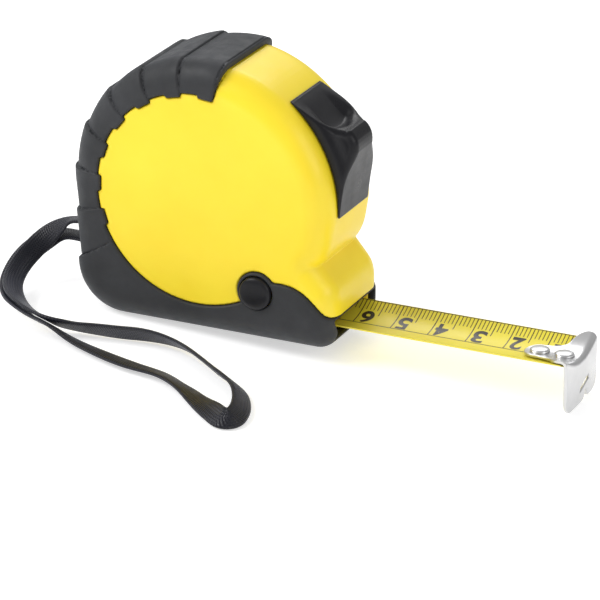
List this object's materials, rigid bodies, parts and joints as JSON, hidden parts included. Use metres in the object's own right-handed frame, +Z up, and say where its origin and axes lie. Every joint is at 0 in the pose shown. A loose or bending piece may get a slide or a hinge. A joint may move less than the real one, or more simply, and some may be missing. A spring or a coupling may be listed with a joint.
{
  "type": "tape measure",
  "caption": "Pocket tape measure with a rubber-gripped round case, thumb lock, brake button, belt clip, wrist strap and hooked steel blade partly drawn out.",
  "frame": {"origin": "centre of the case's flat base", "axes": "+X the way the blade leaves the case, +Z up from the base, -Y the side with the brake button"},
  "size_m": [0.1505, 0.0827, 0.0778],
  "materials": {
    "shell_yellow": "semi-gloss moulded yellow ABS with a fine texture",
    "grip_rubber": "dark grey over-moulded rubber with raised treads",
    "inner_plastic": "plain black nylon",
    "screw_steel": "zinc-plated steel",
    "clip_chrome": "plated spring steel",
    "strap_webbing": "woven black nylon webbing with cross ribs and a sheen",
    "spring_steel": "blued spring steel",
    "blade_yellow": "yellow lacquered steel with black graduations",
    "hook_chrome": "bright nickel plate",
    "lock_black": "glossy black plastic",
    "pad_rubber": "soft black rubber"
  },
  "bodies": {
    "case": {"near_shell": "shell_yellow", "far_shell": "shell_yellow", "near_grip": "grip_rubber", "far_grip": "grip_rubber", "centre_post": "inner_plastic", "case_screw_1": "screw_steel", "case_screw_2": "screw_steel", "case_screw_3": "screw_steel", "belt_clip": "clip_chrome", "clip_screw": "screw_steel", "strap_pin": "screw_steel", "wrist_strap": "strap_webbing", "button_spring": "spring_steel"},
    "reel": {"reel_drum": "inner_plastic", "drum_cover": "inner_plastic", "power_spring": "spring_steel", "blade_coil": "blade_yellow"},
    "blade": {"blade_strip": "blade_yellow", "hook_rivet_1": "hook_chrome", "hook_rivet_2": "hook_chrome"},
    "hook": {"end_hook": "hook_chrome"},
    "lock": {"thumb_lock": "lock_black", "lock_tongue": "inner_plastic"},
    "button": {"brake_button": "lock_black", "brake_pad": "pad_rubber"}
  },
  "joints": [
    {"name": "blade_slide", "type": "slide", "parent": "case", "child": "blade", "axis": [1, 0, 0], "range_m": [-0.0575, 0], "deforming": ["blade_strip"]},
    {"name": "reel_spin", "type": "hinge", "parent": "case", "child": "reel", "pos_m": [0, 0, 0.0345], "axis": [0, 1, 0], "range_deg": [-5, 125]},
    {"name": "hook_float", "type": "slide", "parent": "blade", "child": "hook", "axis": [1, 0, 0], "range_m": [-0.0009, 0]},
    {"name": "lock_turn", "type": "hinge", "parent": "case", "child": "lock", "pos_m": [0, 0, 0.0345], "axis": [0, 1, 0], "range_deg": [-12, 0]},
    {"name": "button_press", "type": "slide", "parent": "case", "child": "button", "axis": [0, 1, 0], "range_m": [0, 0.0014], "stiffness_N_per_m": 500, "deforming": ["button_spring"]}
  ],
  "couplings": [
    {"joint": "reel_spin", "follows": "blade_slide", "rad_per_m": -36.232}
  ]
}
